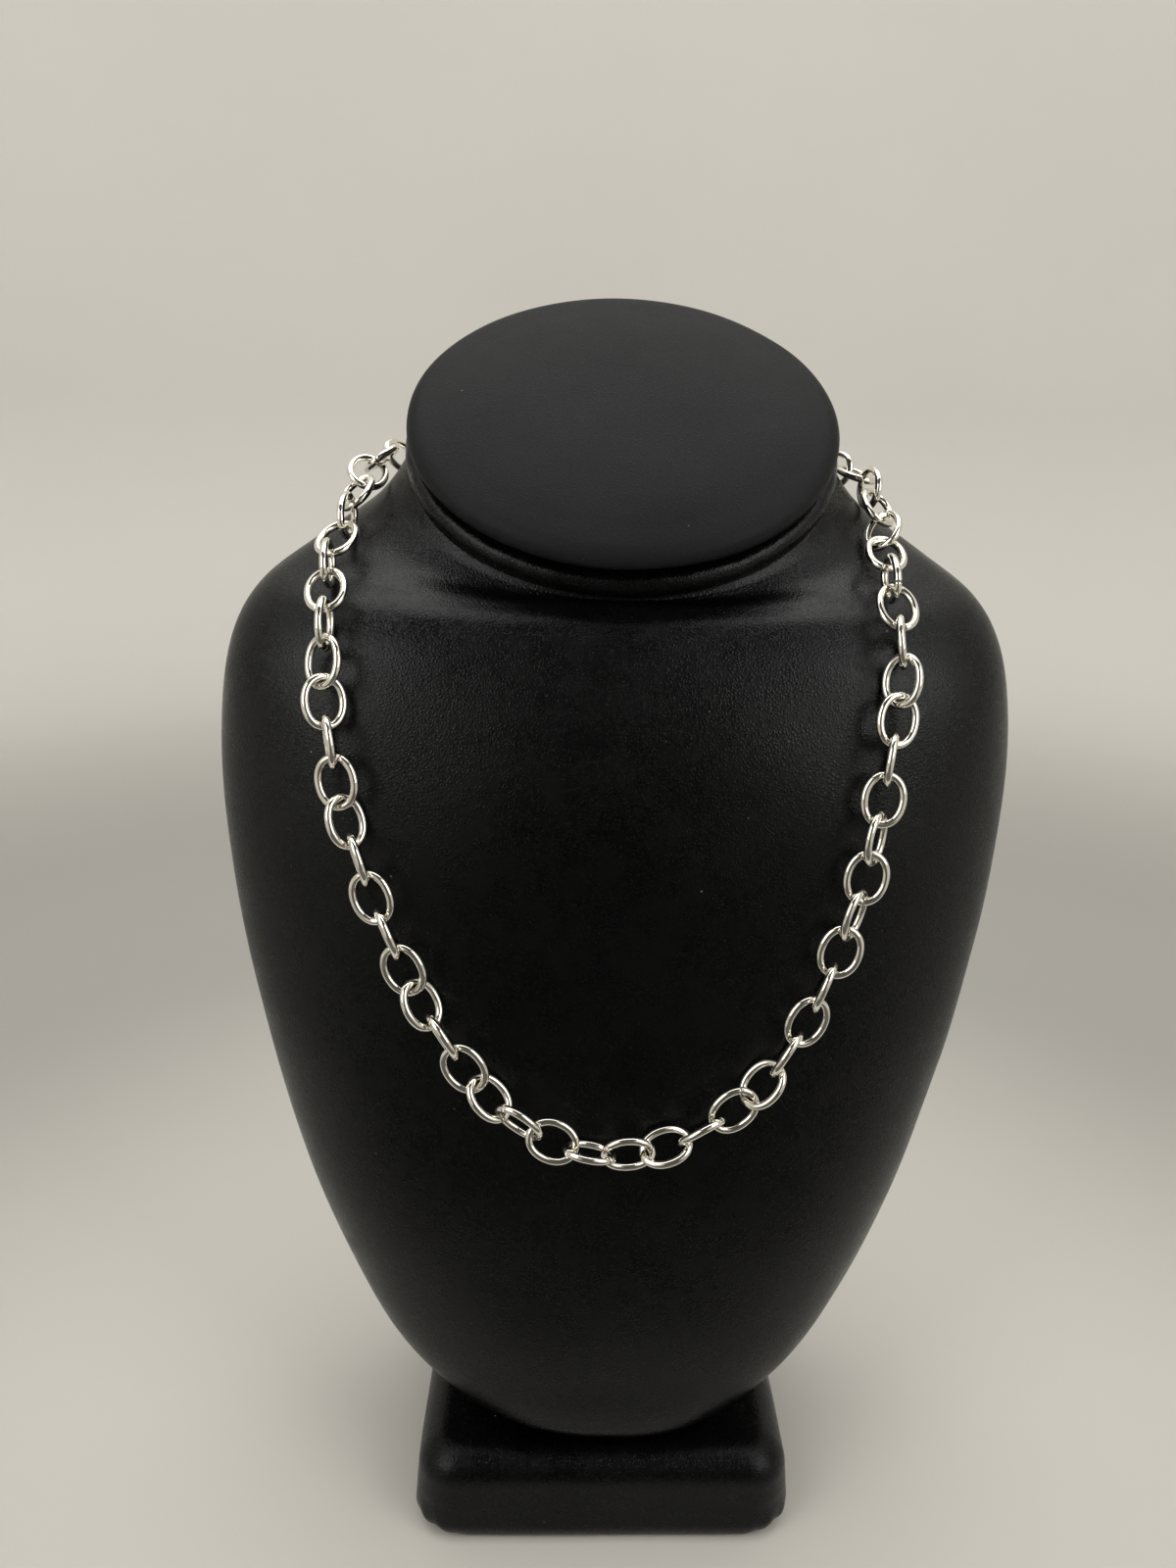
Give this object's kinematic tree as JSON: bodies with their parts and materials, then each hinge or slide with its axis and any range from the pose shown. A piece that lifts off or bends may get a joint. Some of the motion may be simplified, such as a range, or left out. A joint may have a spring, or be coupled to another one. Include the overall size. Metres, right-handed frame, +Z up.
{
  "type": "link chain necklace on a neck bust",
  "caption": "Closed necklace chain of polished interlocking oval rings, laid over the shoulders of a leather-covered jewellery neck bust with a slanted padded cap and a block foot.",
  "frame": {"origin": "middle of the box of the whole, on the floor that the foot stands on", "axes": "+Z up, the bust's front faces -Y, +X to the right as seen from the front"},
  "size_m": [0.1978, 0.1161, 0.3098],
  "materials": {
    "polished_steel": "polished steel wire",
    "clasp_steel": "polished steel",
    "ring_steel": "polished steel wire",
    "body_leather": "black grained leatherette over padding",
    "rim_leather": "black grained leatherette over padding",
    "cap_leather": "black fine-grained leatherette over padding",
    "foot_leather": "black grained leatherette over board"
  },
  "bodies": {
    "root": {"chain": "polished_steel", "clasp": "clasp_steel", "jump_ring": "ring_steel", "body": "body_leather", "neck_rim": "rim_leather", "neck_cap": "cap_leather", "foot": "foot_leather"}
  },
  "joints": []
}
